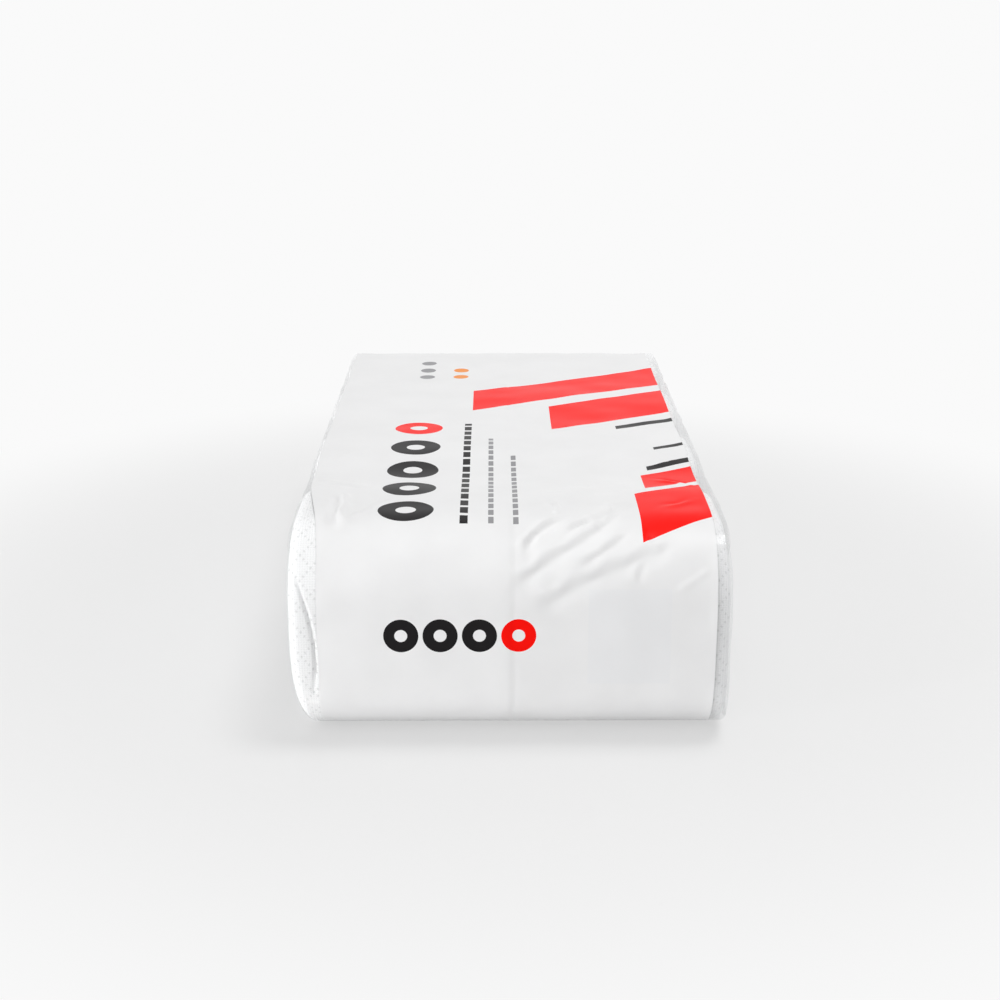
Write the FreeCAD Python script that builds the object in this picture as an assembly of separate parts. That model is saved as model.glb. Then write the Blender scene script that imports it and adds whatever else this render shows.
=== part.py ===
"""A shrink-tight film pack of toilet paper rolls, lying on its broad back panel.

The rolls lie on their sides, two end to end across the pack (X) and four rows deep (Y).
Each roll is wound paper on a cardboard core. One film tube runs round all of them and
bridges the grooves between the rows with a slight sag. Its own side seam runs along the
underside, in the groove nearest the middle of the pack. Over the roll ends the tube is
folded flat: the short sides are tucked in first, then a lower and an upper flap lie over
them, and the two are welded together where they overlap.

Units are millimetres. +Z is up, +Y runs from the front of the pack to its back, and the
origin is on the surface that the pack rests on, under the middle of its outline.
"""

import FreeCAD
import Part
import math
import os

from FreeCAD import Vector

# Paper rolls
ROLL_WIDTH = 96.0            # sheet width, along X
ROLL_DIAMETER = 96.5         # across the pressed flats
ROLL_FLAT = 32.0             # width of the strips that neighbours and film press flat
ROLL_EDGE_RADIUS = 5.0       # soft rounding of the wound edge
TURN_GROOVE_DEPTH = 0.5      # dip between two groups of turns on a roll's outer end
TURN_GROOVE_WIDTH = 0.8
TURN_GROOVES = 2

# Cardboard cores
CORE_DIAMETER = 38.0         # outside
CORE_WALL = 0.8
CORE_SETBACK = 0.5           # the core ends this far inside the paper's end faces
CORE_CLEARANCE = 0.1         # between the core and the innermost turn

# Arrangement of the rolls
ROWS = 4                     # along Y
ROW_GAP = 0.2                # between the flats of neighbouring rows
MIDDLE_GAP = 0.3             # between the two rolls that lie end to end

# Film
FILM_THICKNESS = 0.35
FILM_CLEARANCE = 0.3         # between the film and the paper
FILM_SAG = 2.0               # depth of the dip that bridges two rows
SEAM_WIDTH = 12.0            # lap of the tube's side seam on the underside
SEAM_THICKNESS = 0.3

# Folded ends of the film
FOLD_LAYER = 0.35            # each layer of film that is folded on to the end
FLAP_INSET = 1.5             # from the rounded edge of the end to the root of a flap
FLAP_TIP_INSET = 62.0        # from the pack's short side to the tip corner of a flap
FLAP_ANGLE = 45.0            # slant of a flap's edge, in degrees
FLAP_OVERLAP = 14.0          # height of the band where the two flaps overlap
WELD_HEIGHT = 6.0            # height of the welded band within the overlap
WELD_RAISE = 0.3             # how far the welded band stands out of the upper flap

ROW_PITCH = ROLL_DIAMETER + ROW_GAP
FILM_OFFSET = FILM_CLEARANCE + FILM_THICKNESS
AXIS_HEIGHT = ROLL_DIAMETER / 2 + FILM_OFFSET
ROLL_CENTRE_X = (ROLL_WIDTH + MIDDLE_GAP) / 2
ROLL_END_X = ROLL_WIDTH + MIDDLE_GAP / 2
CORE_BORE_RADIUS = CORE_DIAMETER / 2 + CORE_CLEARANCE
PACK_HALF_LENGTH = (ROWS - 1) / 2 * ROW_PITCH + AXIS_HEIGHT


def row_centre(row):
    """Y of the roll axes in a row, counted from 0 at the front."""
    return (row - (ROWS - 1) / 2) * ROW_PITCH


def arc(centre_y, centre_z, radius, start, end):
    """An arc in the plane X = 0, from one angle to another in degrees, measured from +Y towards +Z."""
    def at(angle):
        turn = math.radians(angle)
        return Vector(0, centre_y + radius * math.cos(turn), centre_z + radius * math.sin(turn))

    return Part.Arc(at(start), at((start + end) / 2), at(end)).toShape()


def line(start, end):
    """A straight edge in the plane X = 0 between two (y, z) points."""
    return Part.LineSegment(Vector(0, *start), Vector(0, *end)).toShape()


def closed_face(edges):
    """The flat face inside a closed run of edges."""
    return Part.Face(Part.Wire(Part.__sortEdges__(edges)))


def polygon(corners):
    """The flat face in the plane X = 0 inside these (y, z) corners."""
    points = [Vector(0, y, z) for y, z in corners]
    return Part.Face(Part.makePolygon(points + points[:1]))


def prism(face, start_x, end_x):
    """A face in the plane X = 0 carried from one X to another as a solid."""
    moved = face.copy()
    moved.translate(Vector(start_x, 0, 0))
    return moved.extrude(Vector(end_x - start_x, 0, 0))


def end_edges(solid, x, tolerance=1e-4):
    """The edges of a solid that lie in the plane of one X."""
    return [edge for edge in solid.Edges
            if abs(edge.BoundBox.XMin - x) < tolerance and abs(edge.BoundBox.XMax - x) < tolerance]


def turn_outline(half_side):
    """The outline of one turn of paper round the origin, half_side from it at the flats. The
    flats are widest on the outermost turn and vanish at the core."""
    share = (half_side - CORE_BORE_RADIUS) / (ROLL_DIAMETER / 2 - CORE_BORE_RADIUS)
    half_flat = share * ROLL_FLAT / 2
    reach = half_flat * math.sqrt(2)
    edges = []
    for quarter in range(4):
        start = 90 * quarter
        turn = math.radians(start + 45)
        centre_y, centre_z = reach * math.cos(turn), reach * math.sin(turn)
        edges.append(arc(centre_y, centre_z, half_side - half_flat, start, start + 90))
    for sign in (-1, 1):
        edges.append(line((-half_flat, sign * half_side), (half_flat, sign * half_side)))
        edges.append(line((sign * half_side, -half_flat), (sign * half_side, half_flat)))
    return closed_face(edges)


def paper_roll():
    """One roll of wound paper about the X axis, centred on the origin, outer end at +X."""
    half_width = ROLL_WIDTH / 2
    body = prism(turn_outline(ROLL_DIAMETER / 2), -half_width, half_width)
    body = body.makeFillet(ROLL_EDGE_RADIUS, end_edges(body, half_width) + end_edges(body, -half_width))
    bore = Part.makeCylinder(CORE_BORE_RADIUS, ROLL_WIDTH, Vector(-half_width, 0, 0), Vector(1, 0, 0))
    body = body.cut(bore)
    flat_end = ROLL_DIAMETER / 2 - ROLL_EDGE_RADIUS - CORE_BORE_RADIUS
    for number in range(1, TURN_GROOVES + 1):
        inner = CORE_BORE_RADIUS + flat_end * number / (TURN_GROOVES + 1)
        groove = turn_outline(inner + TURN_GROOVE_WIDTH).cut(turn_outline(inner))
        body = body.cut(prism(groove, half_width - TURN_GROOVE_DEPTH, half_width))
    return body


def cardboard_core():
    """One core tube about the X axis, centred on the origin."""
    length = ROLL_WIDTH - 2 * CORE_SETBACK
    start = Vector(-length / 2, 0, 0)
    outside = Part.makeCylinder(CORE_DIAMETER / 2, length, start, Vector(1, 0, 0))
    inside = Part.makeCylinder(CORE_DIAMETER / 2 - CORE_WALL, length, start, Vector(1, 0, 0))
    return outside.cut(inside)


def placed(shape, side, row):
    """A roll or core moved to its place. Side -1 is the left column, whose outer end faces -X."""
    moved = shape.copy()
    if side < 0:
        moved.rotate(Vector(), Vector(0, 0, 1), 180)
    moved.translate(Vector(side * ROLL_CENTRE_X, row_centre(row), AXIS_HEIGHT))
    return moved


def film_outline(offset):
    """The film's outline in the YZ plane, this far out from the paper. It follows the rolls
    and crosses each groove between two rows in a shallow dip of tangent arcs."""
    half_flat = ROLL_FLAT / 2
    corner = ROLL_DIAMETER / 2 - half_flat + offset
    half_height = ROLL_DIAMETER / 2 + offset
    half_span = (ROW_PITCH - ROLL_FLAT) / 2
    reach = (half_span ** 2 + FILM_SAG ** 2) / (2 * FILM_SAG)
    lean = math.degrees(math.asin(half_span / reach))
    edges = []
    for up in (1, -1):
        level = AXIS_HEIGHT + up * half_flat
        top = AXIS_HEIGHT + up * half_height
        dip_centre = level + up * (reach - FILM_SAG)
        edges.append(arc(row_centre(0) - half_flat, level, corner, 180, 180 - up * 90))
        edges.append(arc(row_centre(ROWS - 1) + half_flat, level, corner, 0, up * 90))
        for row in range(ROWS):
            middle = row_centre(row)
            edges.append(line((middle - half_flat, top), (middle + half_flat, top)))
        for row in range(ROWS - 1):
            near, far = row_centre(row) + half_flat, row_centre(row + 1) - half_flat
            edges.append(arc(near, level, corner, up * 90, up * (90 - lean)))
            edges.append(arc(far, level, corner, up * 90, up * (90 + lean)))
            edges.append(arc((near + far) / 2, dip_centre, reach - corner, -up * (90 + lean), -up * (90 - lean)))
    for end, row in ((-1, 0), (1, ROWS - 1)):
        wall = row_centre(row) + end * half_height
        edges.append(line((wall, AXIS_HEIGHT - half_flat), (wall, AXIS_HEIGHT + half_flat)))
    return closed_face(edges)


def film_block(offset):
    """A solid block with the film's outline and rounded end edges, this far out from the paper."""
    half_width = ROLL_END_X + offset
    block = prism(film_outline(offset), -half_width, half_width)
    edges = end_edges(block, half_width) + end_edges(block, -half_width)
    return block.makeFillet(ROLL_EDGE_RADIUS + offset, edges)


def side_seam():
    """The lap of the tube's side seam: a strip along X in the dip nearest the pack's middle."""
    middle_row = ROWS // 2
    dip = (row_centre(middle_row - 1) + row_centre(middle_row)) / 2
    ring = film_outline(FILM_OFFSET + SEAM_THICKNESS).cut(film_outline(FILM_OFFSET - FILM_THICKNESS / 2))
    near, far = dip - SEAM_WIDTH / 2, dip + SEAM_WIDTH / 2
    window = polygon([(near, -SEAM_THICKNESS), (far, -SEAM_THICKNESS), (far, AXIS_HEIGHT), (near, AXIS_HEIGHT)])
    half_length = ROLL_END_X - ROLL_EDGE_RADIUS
    return prism(ring.common(window), -half_length, half_length)


def end_panel(corners, layers, extra=0.0):
    """A flat piece of folded film on the +X end, this many layers thick. It is the part of
    the end's flat face that lies inside the (y, z) corners."""
    face = polygon(corners).common(film_outline(-ROLL_EDGE_RADIUS - FLAP_INSET))
    start = ROLL_END_X + FILM_CLEARANCE + FILM_THICKNESS / 2
    return prism(face, start, ROLL_END_X + FILM_OFFSET + layers * FOLD_LAYER + extra)


def folded_end():
    """The folded layers on the +X end: the tucked short sides, the lower flap, the upper flap
    over it, and the welded band."""
    tip = PACK_HALF_LENGTH - FLAP_TIP_INSET
    slope = math.tan(math.radians(FLAP_ANGLE))
    lap, weld = FLAP_OVERLAP / 2, WELD_HEIGHT / 2
    root = tip + 2 * AXIS_HEIGHT / slope
    rise = (root - tip) * slope - lap
    panels = []
    for sign in (-1, 1):
        inner, outer = sign * tip, sign * PACK_HALF_LENGTH
        panels.append(end_panel([(inner, 0), (outer, 0), (outer, 2 * AXIS_HEIGHT), (inner, 2 * AXIS_HEIGHT)], 1))
    for up, layers in ((-1, 2), (1, 3)):
        base, edge = AXIS_HEIGHT + up * rise, AXIS_HEIGHT - up * lap
        panels.append(end_panel([(-root, base), (root, base), (tip, edge), (-tip, edge)], layers))
    low, high = AXIS_HEIGHT - weld, AXIS_HEIGHT + weld
    panels.append(end_panel([(-tip, low), (tip, low), (tip, high), (-tip, high)], 3, WELD_RAISE))
    return panels


def film_wrap():
    """The whole film: a closed skin round the rolls, its side seam, and the folds on both ends."""
    skin = film_block(FILM_OFFSET).cut(film_block(FILM_CLEARANCE))
    folds = folded_end()
    mirrored = [panel.mirror(Vector(), Vector(1, 0, 0)) for panel in folds]
    return skin.fuse(folds + mirrored + [side_seam()]).removeSplitter()


def save(name, shape):
    """Writes one sub-part, and prints what it measures."""
    print(f"{name}: {len(shape.Solids)} solid, valid {shape.isValid()}, {shape.Volume / 1000:.2f} cm3")
    shape.exportStep(f"parts/{name}.step")


def main():
    """Builds every sub-part and writes it to the parts folder."""
    os.makedirs("parts", exist_ok=True)
    roll, core = paper_roll(), cardboard_core()
    for side, column in ((-1, "left"), (1, "right")):
        for row in range(ROWS):
            save(f"paper_roll_{column}_{row + 1}", placed(roll, side, row))
            save(f"cardboard_core_{column}_{row + 1}", placed(core, side, row))
    save("film_wrap", film_wrap())


main()
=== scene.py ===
"""Looks of a film-wrapped pack of toilet paper rolls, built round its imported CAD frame.

Lengths are metres unless a name says millimetres. X runs along the roll axes, Y from the front of
the pack to its back, and Z up. A place on the film is given as x and the girth: the distance along
the film from the middle of the front, up over the top, down the back and forward underneath.
"""

import logging
import math
from dataclasses import dataclass, field
from enum import Enum

import bpy
import numpy as np
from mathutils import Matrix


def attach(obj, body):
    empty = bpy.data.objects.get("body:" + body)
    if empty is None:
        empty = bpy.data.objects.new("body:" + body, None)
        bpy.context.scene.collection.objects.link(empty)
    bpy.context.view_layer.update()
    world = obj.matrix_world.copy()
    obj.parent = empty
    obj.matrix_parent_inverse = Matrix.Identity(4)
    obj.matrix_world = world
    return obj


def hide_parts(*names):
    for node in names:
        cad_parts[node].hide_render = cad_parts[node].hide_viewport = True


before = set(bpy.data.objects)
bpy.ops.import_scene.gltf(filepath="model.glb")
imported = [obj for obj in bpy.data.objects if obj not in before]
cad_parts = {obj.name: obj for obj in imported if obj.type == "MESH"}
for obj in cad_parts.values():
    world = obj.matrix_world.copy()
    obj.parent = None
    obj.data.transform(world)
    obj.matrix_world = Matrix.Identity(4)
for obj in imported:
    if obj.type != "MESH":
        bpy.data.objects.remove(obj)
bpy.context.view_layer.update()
MM = 0.001
LOG = logging.getLogger("roll_pack")


class EndSide(Enum):
    """The two ends of the pack along X, by sign."""

    LEFT = -1
    RIGHT = 1


class Ink(Enum):
    """Printing inks, as linear colours."""

    BLACK = (0.013, 0.012, 0.013)
    RED = (0.97, 0.004, 0.001)
    ORANGE = (0.9, 0.3, 0.06)
    GREY = (0.3, 0.3, 0.31)
    PALE = (0.8, 0.81, 0.83)


def eased(value: np.ndarray, low: float, high: float) -> np.ndarray:
    """Smooth ramp of value from 0 at low to 1 at high."""
    share = np.clip((value - low) / (high - low), 0.0, 1.0)
    return share * share * (3.0 - 2.0 * share)


@dataclass(frozen=True)
class PackLayout:
    """Sizes that the pieces share, the same as in the CAD source."""

    rows: int = 4
    row_pitch: float = 0.0967
    axis_height: float = 0.0489
    roll_half: float = 0.04825
    roll_flat: float = 0.032
    roll_edge: float = 0.005
    roll_end_x: float = 0.09615
    roll_inner_x: float = 0.00015
    film_offset: float = 0.00065
    bore_radius: float = 0.0191
    print_left: float = -0.08315
    print_right: float = 0.0897

    def row_y(self, row: int) -> float:
        """Y of a row's axis, counted from 0 at the front."""
        return (row - (self.rows - 1) / 2) * self.row_pitch


@dataclass
class FilmOutline:
    """The film's closed outline across the pack, by girth."""

    layout: PackLayout
    top_sags: tuple[float, ...] = (0.0024, 0.0009, 0.0009)
    under_sags: tuple[float, ...] = (0.002, 0.002, 0.002)
    step: float = 0.0003
    softness: float = 0.0065
    puff: float = 0.0004
    puff_from: float = 0.02
    puff_to: float = 0.06
    least_upward: float = 0.02

    def __post_init__(self) -> None:
        """Trace the outline once, and find its four outer corners."""
        top = self._chain(self.top_sags)
        under = self._chain(self.under_sags)[::-1].copy()
        under[:, 1] = 2 * self.layout.axis_height - under[:, 1]
        self._soften(np.vstack([top, under]))
        self.corners = [self._girth_facing(y, z) for y, z in ((-1, 1), (1, 1), (1, -1), (-1, -1))]

    def _arc(self, centre: tuple[float, float], radius: float, start: float,
             end: float) -> np.ndarray:
        """Points of an arc.

        Args:
            centre: Y and Z of its centre.
            radius: Its radius.
            start: Start angle in degrees from +Y.
            end: End angle in degrees.

        Returns:
            Rows of y and z.
        """
        count = max(3, int(abs(math.radians(end - start)) * radius / self.step) | 1)
        angles = np.radians(np.linspace(start, end, count))
        return np.array(centre) + radius * np.c_[np.cos(angles), np.sin(angles)]

    def _chain(self, sags: tuple[float, ...]) -> np.ndarray:
        """Upper half of the outline, from the front to the back.

        Args:
            sags: How far the film sags into each groove between rows.

        Returns:
            Rows of y and z.
        """
        lay = self.layout
        half_flat = lay.roll_flat / 2
        corner = lay.roll_half - half_flat + lay.film_offset
        half_span = lay.row_pitch / 2 - half_flat
        level = lay.axis_height + half_flat
        parts = []
        lean_before = 90.0
        for row in range(lay.rows):
            middle = lay.row_y(row)
            parts.append(self._arc((middle - half_flat, level), corner, 90 + lean_before, 90))
            if row == lay.rows - 1:
                break
            sag = sags[row]
            reach = (half_span ** 2 + sag ** 2) / (2 * sag)
            lean = math.degrees(math.asin(half_span / reach))
            parts.append(self._arc((middle + half_flat, level), corner, 90, 90 - lean))
            dip = (middle + lay.row_pitch / 2, level + reach - sag)
            parts.append(self._arc(dip, reach - corner, 270 - lean, 270 + lean))
            lean_before = lean
        parts.append(self._arc((lay.row_y(lay.rows - 1) + half_flat, level), corner, 90, 0))
        return np.vstack(parts)

    def _soften(self, line: np.ndarray) -> None:
        """Round off the changes of curvature, and keep even points with their normals.

        Args:
            line: Y and Z of the sharp trace, from the front's upper end round to its lower end.
        """
        closed = np.vstack([line, line[:1]])
        run = np.r_[0.0, np.cumsum(np.linalg.norm(np.diff(closed, axis=0), axis=1))]
        self.length = run[-1]
        count = int(self.length / self.step)
        spacing = self.length / count
        marks = np.arange(count) * spacing
        even = np.stack([np.interp(marks, run, column) for column in closed.T], -1)
        reach = int(4 * self.softness / spacing)
        weights = np.exp(-0.5 * (np.arange(-reach, reach + 1) * spacing / self.softness) ** 2)
        weights /= weights.sum()
        soft = sum(weight * np.roll(even, shift, axis=0)
                   for weight, shift in zip(weights, range(-reach, reach + 1)))
        way = np.roll(soft, -1, axis=0) - np.roll(soft, 1, axis=0)
        way /= np.linalg.norm(way, axis=1, keepdims=True)
        outward = np.c_[-way[:, 1], way[:, 0]]
        soft += self.puff * eased(soft[:, 1:], self.puff_from, self.puff_to) * outward
        self.girths = marks + self.layout.roll_flat / 2
        self.trace = np.c_[soft, outward]

    def girth_over(self, y: np.ndarray) -> np.ndarray:
        """Girths of the places on the top over the given y."""
        upwards = self.trace[:, 3] > self.least_upward
        upper = upwards & (self.girths < self.length / 2 + self.girths[0])
        return np.interp(y, self.trace[upper, 0], self.girths[upper])

    def _girth_facing(self, y_sign: int, z_sign: int) -> float:
        """Girth of the outer corner that faces the given diagonal."""
        miss = np.abs(self.trace[:, 2] - y_sign * math.sqrt(0.5))
        miss += np.abs(self.trace[:, 3] - z_sign * math.sqrt(0.5))
        return float(self.girths[int(np.argmin(miss))])

    def at(self, girth: np.ndarray, inset: np.ndarray | float = 0.0) -> np.ndarray:
        """Points on the outline.

        Args:
            girth: Girths, in metres.
            inset: How far inside the film's outer face.

        Returns:
            Rows of y, z, normal y, normal z.
        """
        parts = [np.interp(girth, self.girths, column, period=self.length)
                 for column in self.trace.T]
        y, z, normal_y, normal_z = parts
        size = np.hypot(normal_y, normal_z)
        normal_y, normal_z = normal_y / size, normal_z / size
        return np.stack([y - inset * normal_y, z - inset * normal_z, normal_y, normal_z], -1)


@dataclass(frozen=True)
class Crease:
    """A crease in the film, as a line of places in millimetres: x, girth.

    The film is steep with a ridge on the upper side of the line, and slack on its lower side.
    """

    places: tuple[tuple[float, float], ...]
    depth_mm: float
    width_mm: float
    shoulder: float = 0.65
    fade_mm: float = 9.0
    slack: float = 1.6
    uneven: float = 0.22
    swing_mm: float = 17.0
    ridge_gap: float = 2.0
    ridge_reach: float = 1.1
    end_share: float = 0.1

    def height(self, x: np.ndarray, girth: np.ndarray) -> np.ndarray:
        """Height of the film over its plain surface.

        Args:
            x: X of the places, in metres.
            girth: Their girths, in metres.

        Returns:
            Heights in metres, negative in a valley.
        """
        line = np.array(self.places) * MM
        runs = np.linalg.norm(np.diff(line, axis=0), axis=1)
        starts = np.r_[0.0, np.cumsum(runs)]
        nearest = np.full(np.shape(x), np.inf)
        along = np.zeros(np.shape(x))
        side = np.ones(np.shape(x))
        for start, end, run, before in zip(line[:-1], line[1:], runs, starts[:-1]):
            way = (end - start) / run
            share = np.clip((x - start[0]) * way[0] + (girth - start[1]) * way[1], 0.0, run)
            off_x = x - start[0] - share * way[0]
            off_girth = girth - start[1] - share * way[1]
            gap = np.hypot(off_x, off_girth)
            closer = gap < nearest
            nearest = np.where(closer, gap, nearest)
            along = np.where(closer, before + share, along)
            side = np.where(closer, way[0] * off_girth - way[1] * off_x, side)
        nearest = nearest * np.sign(side)
        uneven = 1.0 + self.uneven * np.sin(along / (self.swing_mm * MM) * 2 * math.pi)
        width = self.width_mm * MM * uneven
        fade = np.minimum(eased(along, 0.0, self.fade_mm * MM),
                          eased(starts[-1] - along, 0.0, self.fade_mm * MM))
        reach = np.where(nearest > 0, width, self.slack * width)
        valley = np.exp(-((nearest / reach) ** 2))
        ridge = np.exp(-(((nearest - self.ridge_gap * width) / (self.ridge_reach * width)) ** 2))
        kept = self.end_share + (1.0 - self.end_share) * fade
        return self.depth_mm * MM * (self.shoulder * ridge - valley) * kept


SHOULDER_CREASES = (
    Crease(((1.5, 25.3), (12.7, 33.5), (22.2, 40.7), (31.5, 46.6), (40.1, 54.7), (45.9, 69.6),
            (55.5, 84.1)), 0.95, 2.1),
    Crease(((29.0, 33.4), (39.1, 40.6), (45.7, 45.5), (53.5, 53.3)), 0.75, 1.4),
    Crease(((10.5, 15.6), (20.8, 20.9), (29.8, 26.1), (38.0, 30.0), (47.1, 33.4), (54.5, 37.4),
            (65.0, 40.6), (72.0, 47.0)), 0.8, 2.5),
    Crease(((7.6, 39.8), (8.1, 46.6), (11.2, 51.6), (19.7, 59.8), (26.9, 63.5)), 1.1, 1.2),
    Crease(((22.4, 49.3), (29.7, 56.7), (37.4, 61.5), (42.6, 66.8)), 1.0, 1.2),
    Crease(((40.2, 56.7), (43.7, 64.4), (46.8, 76.8)), -1.1, 0.9, 0.1, 5.0, 1.0),
    Crease(((20.5, 66.0), (22.0, 74.0), (21.0, 84.0)), -1.0, 0.9, 0.1, 4.0, 1.2),
    Crease(((55.6, 26.9), (56.5, 33.0), (59.6, 36.5)), 0.6, 1.1, 0.4, 4.0),
    Crease(((57.5, 44.0), (60.5, 52.0), (61.0, 58.0)), -0.4, 0.9, 0.1, 4.0, 1.2),
    Crease(((70.6, 23.0), (80.5, 29.9), (88.0, 35.1)), -0.45, 1.0, 0.2, 6.0, 1.5),
    Crease(((17.0, 78.0), (19.0, 88.0)), 0.5, 1.4, 0.4, 4.0),
    Crease(((18.0, 84.0), (34.0, 95.0), (50.0, 104.0), (64.0, 112.0)), 0.8, 4.5, 0.5),
    Crease(((67.9, 150.1), (79.0, 152.6), (84.0, 157.6)), -0.5, 1.3),
    Crease(((68.4, 123.6), (79.6, 117.5), (89.8, 107.9)), -0.55, 1.2),
    Crease(((68.5, 73.8), (77.2, 79.6), (84.9, 86.9)), -0.45, 1.5),
    Crease(((-79.0, 98.0), (-78.0, 84.0), (-77.5, 70.1), (-76.4, 53.6)), 1.0, 1.7),
    Crease(((-74.7, 96.8), (-72.9, 80.3), (-76.0, 64.0)), -0.8, 1.3),
    Crease(((-52.0, 92.0), (-59.2, 84.7), (-67.1, 70.2), (-74.3, 61.0)), 0.6, 1.2),
    Crease(((-94.0, 150.0), (-84.0, 158.0), (-73.0, 165.0)), -0.5, 1.6),
    Crease(((-93.0, 120.0), (-80.0, 116.0), (-66.0, 104.0)), 0.5, 2.0),
)


@dataclass(frozen=True)
class LeafDent:
    """A dent in the soft end of a roll: steep along one line, shallow beyond it. Millimetres."""

    places: tuple[tuple[float, float], ...] = (
        (-92.5, 34.0), (-89.5, 24.0), (-86.4, 13.5), (-84.2, 0.0), (-83.8, -10.0), (-86.6, -24.0))
    depth_mm: float = 0.7
    reach_mm: float = 3.0
    wall_mm: float = 0.35
    groove_mm: float = 1.3
    groove_width_mm: float = 0.6
    leaf_power: float = 0.6

    def depth(self, x: np.ndarray, girth: np.ndarray) -> np.ndarray:
        """How far the dent presses in.

        Args:
            x: X of the places, in metres.
            girth: Their girths, in metres.

        Returns:
            Depths in metres.
        """
        line = np.array(self.places[::-1]) * MM
        wall = np.interp(girth, line[:, 1], line[:, 0])
        beyond = (wall - x) / MM
        middle = 0.5 * (line[0, 1] + line[-1, 1])
        half = 0.5 * (line[-1, 1] - line[0, 1])
        leaf = np.clip(1.0 - ((girth - middle) / half) ** 2, 0.0, 1.0) ** self.leaf_power
        fall = np.exp(-np.maximum(beyond, 0.0) / self.reach_mm)
        groove = np.exp(-(((beyond - self.groove_width_mm) / self.groove_width_mm) ** 2))
        depth = self.depth_mm * fall * eased(beyond, -self.wall_mm, self.wall_mm)
        return MM * leaf * (depth + self.groove_mm * groove)


@dataclass
class FilmRelief:
    """How far the film stands off its plain outline, the same for every piece of it."""

    layout: PackLayout
    outline: FilmOutline
    seed: int = 17
    waves: int = 26
    wave_height: float = 0.00009
    shortest_wave: float = 0.018
    longest_wave: float = 0.07
    step_height: float = 0.00022
    step_x: float = 0.0012
    step_half: float = 0.0012
    meeting_depth: float = 0.0001
    meeting_offset: float = 0.0006
    meeting_half: float = 0.001
    front_reach: float = 0.085
    rear_share: float = 0.35
    print_fade: float = 0.004
    drift: float = 0.0098
    rise_before: float = 0.008
    rise_after: float = 0.085
    fall_before: float = 0.014
    fall_after: float = 0.024
    creases: tuple[Crease, ...] = SHOULDER_CREASES

    def __post_init__(self) -> None:
        """Draw the slow waves once."""
        draw = np.random.default_rng(self.seed)
        lengths = draw.uniform(self.shortest_wave, self.longest_wave, self.waves)
        angles = draw.uniform(0.0, math.pi, self.waves)
        self.wave_x = np.cos(angles) * 2 * math.pi / lengths
        self.wave_girth = np.sin(angles) * 2 * math.pi / lengths
        self.wave_phase = draw.uniform(0.0, 2 * math.pi, self.waves)

    def height(self, x: np.ndarray, girth: np.ndarray) -> np.ndarray:
        """Height of the film over the plain outline.

        Args:
            x: X of the places.
            girth: Their girths.

        Returns:
            Heights in metres.
        """
        slow = np.zeros(np.shape(x))
        for kx, kg, phase in zip(self.wave_x, self.wave_girth, self.wave_phase):
            slow += np.sin(kx * x + kg * girth + phase)
        slow *= self.wave_height / math.sqrt(self.waves) * 2.0
        near = np.exp(-((girth - 0.005) / self.front_reach) ** 4)
        front = self.rear_share + (1.0 - self.rear_share) * near
        across = eased(x, self.step_x - self.step_half, self.step_x + self.step_half)
        step = -self.step_height * across * front
        beside = (x - self.step_x - self.meeting_offset) / self.meeting_half
        meeting = -self.meeting_depth * np.exp(-(beside ** 2))
        creased = np.zeros(np.shape(x))
        for crease in self.creases:
            creased += crease.height(x, girth)
        height = slow + step + meeting + creased
        return height * self._shown(girth) * self._printed(x, girth)

    def print_drift(self, girth: np.ndarray) -> np.ndarray:
        """How much further left the print reaches on the top than on the front."""
        girth = np.mod(girth, self.outline.length)
        top_front, top_back = self.outline.corners[:2]
        rise = eased(girth, top_front - self.rise_before, top_front + self.rise_after)
        fall = eased(-girth, -top_back - self.fall_after, self.fall_before - top_back)
        return self.drift * rise * fall

    def _printed(self, x: np.ndarray, girth: np.ndarray) -> np.ndarray:
        """Share of the relief, which ends where the print does, so that clear film lies on paper."""
        left = x - (self.layout.print_left - self.print_drift(girth))
        right = self.layout.print_right - x
        return eased(left, 0.0, self.print_fade) * eased(right, 0.0, self.print_fade)

    def _shown(self, girth: np.ndarray) -> np.ndarray:
        """Share of the relief, which ends where the pack rests on its underside."""
        return eased(self.outline.at(girth)[..., 1], 0.002, 0.02)

    def surface(self, x: np.ndarray, girth: np.ndarray, lift: float = 0.0) -> np.ndarray:
        """Points on the film's outer face.

        Args:
            x: X of the places.
            girth: Their girths.
            lift: Extra height over the film.

        Returns:
            Points, as an array that ends in x, y, z.
        """
        y, z, normal_y, normal_z = np.moveaxis(self.outline.at(girth), -1, 0)
        height = self.height(x, girth) + lift
        return np.stack([x, y + normal_y * height, z + normal_z * height], -1)


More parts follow.
